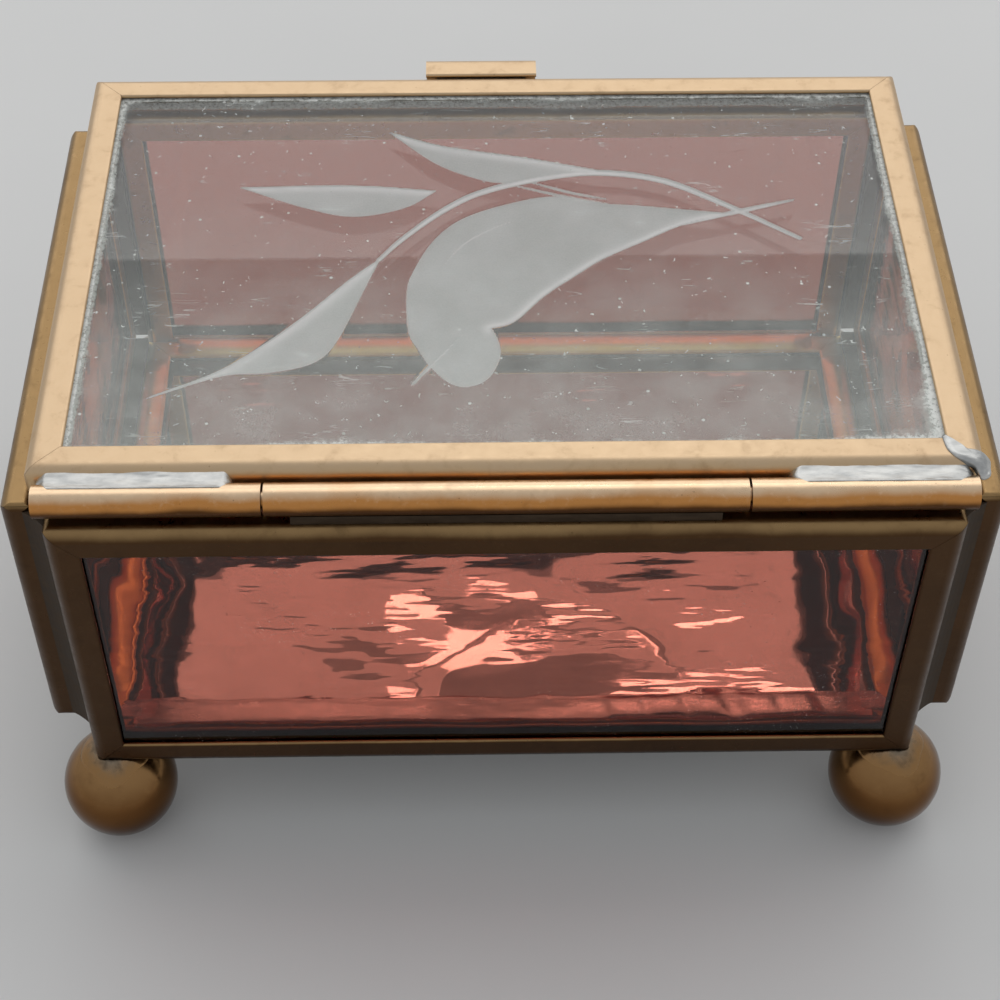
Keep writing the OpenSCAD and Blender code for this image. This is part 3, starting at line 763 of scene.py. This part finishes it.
def corner_blob():
    """Solder that runs from the corner of the lid glass across the mitre and over the lid's back edge."""
    outline = curve_through(CORNER_BLOB + CORNER_BLOB[:1])[:-1]
    share = np.linspace(0.08, 1.0, 22)[:, None]
    x = BLOB_MIDDLE[0] + share * (outline[:, 0] - BLOB_MIDDLE[0])
    y = BLOB_MIDDLE[1] + share * (outline[:, 1] - BLOB_MIDDLE[1])
    rail_top, rail_back, rail_left = RAIL_HIGH[2] / MM, RAIL_HIGH[1] / MM, RAIL_LOW[0] / MM
    glass_top = LID_HIGH[2] / MM
    drop_back = BACK_DROP[0] * (np.clip(y - rail_back + FOLD_R, 0, BACK_DROP[1]) / BACK_DROP[1]) ** 2
    drop_left = LEFT_DROP[0] * (np.clip(rail_left + FOLD_R - x, 0, LEFT_DROP[1]) / LEFT_DROP[1]) ** 2
    drop = np.minimum(drop_back + drop_left, 1.0)
    over_glass = np.clip(np.minimum(x - rail_left - CAME_FACE, rail_back - CAME_FACE - y) / 0.3, 0, 1)
    skin = rail_top - drop - over_glass * (rail_top - glass_top - 0.05)
    rise = 0.04 + 0.22 * np.sqrt(1 - share**4) + 0.03 * (1 - share) * lumps(x, y, 31, 1.6)
    top = np.minimum(skin + rise, rail_top + 0.22)
    bottom = np.minimum(skin - 0.03 - 0.9 * np.sqrt(1 - share**2), top - THINNEST)
    blob = dome("lid_corner_solder_run", x, y, top, bottom, SOLDER)
    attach(blob, "lid")
    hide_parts("lid_corner_solder")


# Where the larger drops of solder lie along the base's back edge, in millimetres
BEAD_DROPS = (-11.0, -14.6, -18.3, -23.1, -26.6)
# Millimetres: how far from a base rail's ends its run of metal stops, over what length it tapers there, how
# deep its edges and its underside are sunk in the rail, and the height of the brass lip
RUN_END = 3.2
RUN_TAPER = 2.0
RUN_EDGE = 0.04
RUN_UNDER = 0.10
LIP_HEIGHT = 0.50


def tinned_crown(a, across):
    """Height of the solder along the base's back edge: flat-topped, with a row of drops towards the left."""
    slanted = a + 0.9 * (across - 0.5)
    drops = sum(np.exp(-((slanted - middle) / 1.7) ** 6) for middle in BEAD_DROPS)
    swell = 0.09 + 0.02 * lumps(a * 0.35, across * 2.6, 41, 4.0) + 0.13 * drops
    return (1 - np.abs(2 * across - 1) ** 4) * np.maximum(swell, 0.03)


def rolled_crown(a, across):
    """Height of the rounded brass lip along the other edges of the base."""
    return LIP_HEIGHT * np.sin(math.pi * across) ** 0.8 + 0.015 * lumps(a * 0.5, across, 43, 5.0)


def base_run(side, crown, material):
    """A run of metal along the top of a base rail, between its mitres."""
    low, high = box_mm("base_rail_" + side)
    along = 0 if side in ("front", "back") else 1
    over = 1 - along
    us = np.linspace(low[along] + RUN_END, high[along] - RUN_END, 260)
    vs = np.linspace(low[over] + 0.2, high[over] - 0.1, 26)
    u, v = np.meshgrid(us, vs)
    across = (v - vs[0]) / (vs[-1] - vs[0])
    ends = np.clip(np.minimum(u - us[0], us[-1] - u) / RUN_TAPER, 0, 1)
    top = high[2] - RUN_EDGE + ends * crown(u, across)
    bottom = np.full(u.shape, high[2] - RUN_UNDER)

    def place(a, b, w):
        return np.column_stack([a, b, w] if along == 0 else [b, a, w]) * MM

    run = slab("base_" + side + "_run", us, vs, top, np.minimum(bottom, top - THINNEST), place, material)
    if along == 1:
        run.data.flip_normals()
    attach(run, "box")


# How far the solder reaches from the middle of a foot, in millimetres
COLLAR_REACH = 3.15
# Height given to the panels' underside where there is no panel, in millimetres: higher than anything
NO_PANEL = 99.0


def panels_underside(corner, x, y):
    """(height of the panels' rounded underside, how far outside the box) over x and y, in millimetres."""
    low, high = box_mm("back_rail_bottom" if corner.startswith("back") else "front_rail_bottom")
    over_x = np.abs(x) - high[0]
    over_y = np.abs(y) - max(abs(low[1]), abs(high[1]))
    outside = np.maximum(over_x, over_y)
    round_x = np.clip(over_x + CORNER_R, 0, CORNER_R)
    round_y = np.clip(over_y + FOLD_R, 0, FOLD_R)
    rise = CORNER_R - np.sqrt(CORNER_R**2 - round_x**2) + FOLD_R - np.sqrt(FOLD_R**2 - round_y**2)
    return np.where(outside < 0, low[2] + rise - 0.02, NO_PANEL), outside


def foot_collar(corner, seed):
    """Solder that fills the seat between a ball and the box's corner, and climbs a little past it."""
    low, high = box_mm("foot_" + corner)
    ball_r = (high[0] - low[0]) / 2
    middle = (low + high) / 2
    ball_z = ball_r - FOOT_WEAR
    turns = np.linspace(0, 2 * math.pi, 72, endpoint=False)
    shares = np.linspace(0.06, 1.0, 18)
    share, turn = np.meshgrid(shares, turns, indexing="ij")
    reach = COLLAR_REACH + 0.25 * np.sin(3 * turn + seed) + 0.12 * np.sin(5 * turn + 2 * seed)
    r = share * reach
    x, y = middle[0] + r * np.cos(turn), middle[1] + r * np.sin(turn)
    under, outside = panels_underside(corner, x, y)
    ball = ball_z + np.sqrt(ball_r**2 - r**2)
    climb = 0.09 + 0.46 * np.exp(-np.maximum(outside, 0) / 0.55)
    thick = climb * (1 - share**2) * (1 + 0.3 * lumps(x, y, seed, 1.7))
    top = np.minimum(ball + thick, under)
    bottom = np.minimum(np.minimum(ball, high[2]) - 0.06, top - THINNEST)
    collar = dome("foot_collar_" + corner, x, y, top, bottom, COLLAR)
    rim = collar.data.attributes.new("rim", "FLOAT", "POINT")
    rim.data.foreach_set("value", np.concatenate([(0, 0), share.ravel(), share.ravel()]))
    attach(collar, "box")
    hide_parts("foot_solder_" + corner)


# ---------------------------------------------------------------- putting it together

# The pale top tone of the ball feet, a painted highlight, which the solder around them fades into
BALL_LIT_TOP = (0.32, 0.18, 0.075)
# Lid brass: top and side tones nearly match; faces that look down get the darkest tone as painted shade
LID_BRASS = aged_brass(
    "lid_brass", (0.62, 0.455, 0.29), (0.64, 0.45, 0.25), (0.20, 0.10, 0.04), rough=(0.36, 0.50),
    tarnish=0.25,
)
# Wall brass: the near-black side tone is painted shade on the walls' outer faces, and the orange tone for
# faces looking into the box is a painted highlight
WALL_BRASS = aged_brass(
    "wall_brass", (0.33, 0.21, 0.095), (0.08, 0.041, 0.018), (0.04, 0.02, 0.009), rough=(0.26, 0.42),
    inside_highlight=(0.68, 0.38, 0.13),
)
# Base brass: bright gold, a painted highlight on the base's rails, which get little light inside the box
BASE_BRASS = aged_brass(
    "base_brass", (0.96, 0.66, 0.22), (0.84, 0.48, 0.14), (0.22, 0.11, 0.04), rough=(0.30, 0.45),
    tarnish=0.15,
)
# Hinge tube: pale top, orange-brown middle and near-black underside by how far a face looks up: painted
# highlight and painted shade
TUBE = aged_brass(
    "tube_brass", (0.80, 0.59, 0.39), (0.60, 0.27, 0.08), (0.05, 0.018, 0.006), rough=(0.26, 0.38),
    tarnish=0.2, turn=(-0.1, 0.4, 0.55, 0.98),
)
# Ball feet: pale top as painted highlight, dark sides and underside as painted shade
BALL = aged_brass(
    "ball_brass", BALL_LIT_TOP, (0.17, 0.078, 0.026), (0.07, 0.03, 0.012), rough=(0.14, 0.26),
)
SOLDER = solder_metal("solder", (0.40, 0.405, 0.40), (0.66, 0.66, 0.64), (0.34, 0.33, 0.30), 0.68)
TINNED = solder_metal(
    "tinned_brass", (0.72, 0.70, 0.66), (0.92, 0.90, 0.86), (0.50, 0.38, 0.24), 0.64, rough=(0.16, 0.28),
)
# Seam solder: near-black and dull, partly dark patina and partly painted shade of the back corners and of the
# strip under the tube
SEAM_PATINA_SHADE = solder_metal(
    "seam_patina_shade_solder", (0.034, 0.022, 0.013), (0.060, 0.040, 0.025), (0.10, 0.08, 0.06), 0.72, rough=(0.5, 0.65),
    metallic=0.0, shine=0.12,
)
COLLAR = foot_solder("foot_solder", (0.14, 0.105, 0.07), (0.30, 0.27, 0.22), BALL_LIT_TOP)
MIRROR_FRONT = mirror_front("mirror_front")
SILVERING = silvering("mirror_silvering")
ROSE = rose_glass("rose_wavy_glass", (0.39, 0.112, 0.080))


def finish_for(node):
    """The material of a piece, by its name."""
    # These seams take the near-black seam tone: partly patina, partly painted shade
    if node.startswith(("corner_solder", "base_solder", "foot_solder")) or node == "hinge_solder_center":
        return SEAM_PATINA_SHADE
    if "solder" in node:
        return SOLDER
    if node == "base_mirror":
        return MIRROR_FRONT
    if node == "base_rail_back":
        return TINNED
    if node.startswith("base"):
        return BASE_BRASS
    if node.startswith("hinge"):
        return TUBE
    if node.startswith("foot"):
        return BALL
    return LID_BRASS if node.startswith("lid") else WALL_BRASS


for name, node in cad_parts.items():
    node.data.materials.clear()
    node.data.materials.append(finish_for(name))

engraved_lid()
hinge_strip("hinge_solder_left", 11)
hinge_strip("hinge_solder_right", 12)
corner_blob()
silvered_mirror()
base_run("back", tinned_crown, TINNED)
for side in ("front", "left", "right"):
    base_run(side, rolled_crown, BASE_BRASS)
for seed, foot_corner in enumerate(("back_left", "back_right", "front_left", "front_right")):
    foot_collar(foot_corner, 21 + seed)
for seed, pane_node in enumerate(("back_glass", "front_glass", "left_glass", "right_glass")):
    wavy_pane(pane_node, seed + 1)

# ---------------------------------------------------------------- floor, light and camera

FLOOR_REACH = 3.0
floor = new_object(
    "floor",
    [(x * FLOOR_REACH, y * FLOOR_REACH, 0) for x, y in ((-1, -1), (1, -1), (1, 1), (-1, 1))],
    [(0, 1, 2, 3)],
    plain_floor("pale_floor"),
    smooth=False,
)


# What the lamps face: the middle of the box
TARGET = Vector((0.0, 0.0, 0.03))


def panel(name, azimuth, elevation, distance, size, radiance, colour=(1, 1, 1)):
    """A soft panel that faces the box. azimuth and elevation are in degrees, azimuth from the front to -X, and
    radiance is how bright the panel looks."""
    azimuth, elevation = math.radians(azimuth), math.radians(elevation)
    flat = math.cos(elevation) * distance
    offset = (-flat * math.sin(azimuth), -flat * math.cos(azimuth), math.sin(elevation) * distance)
    place = Vector(offset) + TARGET
    light = bpy.data.lights.new(name, "AREA")
    light.shape = "RECTANGLE"
    light.size, light.size_y = size
    light.energy = radiance * math.pi * size[0] * size[1]
    light.color = colour
    obj = bpy.data.objects.new(name, light)
    obj.location = place
    obj.rotation_euler = (TARGET - place).to_track_quat("-Z", "Y").to_euler()
    bpy.context.scene.collection.objects.link(obj)


panel("key_low", 0, 29, 1.35, (2.4, 0.62), 0.98, (1.0, 0.98, 0.95))
panel("key_high", 0, 64, 1.35, (2.4, 0.72), 0.94, (1.0, 0.985, 0.96))
panel("lamp", -1, 52.8, 0.95, (0.085, 0.045), 5.6)
panel("strip", 11, 54.2, 0.95, (0.15, 0.035), 6.5)

world = bpy.data.worlds.new("studio")
bpy.context.scene.world = world
world.use_nodes = True
background = world.node_tree.nodes["Background"]
background.inputs["Color"].default_value = (0.95, 0.97, 1.0, 1.0)
background.inputs["Strength"].default_value = 0.55

# The photograph's viewpoint: behind the hinge, above, looking down and towards the front. The focal length is
# in widths of the picture.
CAMERA_PLACE = Vector((2.96, 132.76, 163.56)) * MM
CAMERA_PITCH = math.radians(48.33)
CAMERA_YAW = math.radians(-1.30)
CAMERA_ROLL = math.radians(0.39)
FOCAL_PER_FRAME = 2.0488
SENSOR = 36.0

ahead = Vector((
    math.sin(CAMERA_YAW) * math.cos(CAMERA_PITCH),
    -math.cos(CAMERA_YAW) * math.cos(CAMERA_PITCH),
    -math.sin(CAMERA_PITCH),
))
level = Vector((-math.cos(CAMERA_YAW), -math.sin(CAMERA_YAW), 0.0))
upright = level.cross(ahead)
right = level * math.cos(CAMERA_ROLL) + upright * math.sin(CAMERA_ROLL)
up = upright * math.cos(CAMERA_ROLL) - level * math.sin(CAMERA_ROLL)
camera_data = bpy.data.cameras.new("camera")
camera_data.sensor_width = SENSOR
camera_data.lens = SENSOR * FOCAL_PER_FRAME
camera_data.clip_start = 0.01
camera_data.clip_end = 10.0
camera = bpy.data.objects.new("camera", camera_data)
camera.matrix_world = Matrix((
    (right.x, up.x, -ahead.x, CAMERA_PLACE.x),
    (right.y, up.y, -ahead.y, CAMERA_PLACE.y),
    (right.z, up.z, -ahead.z, CAMERA_PLACE.z),
    (0, 0, 0, 1),
))
bpy.context.scene.collection.objects.link(camera)
bpy.context.scene.camera = camera
bpy.context.scene.view_settings.view_transform = "Standard"
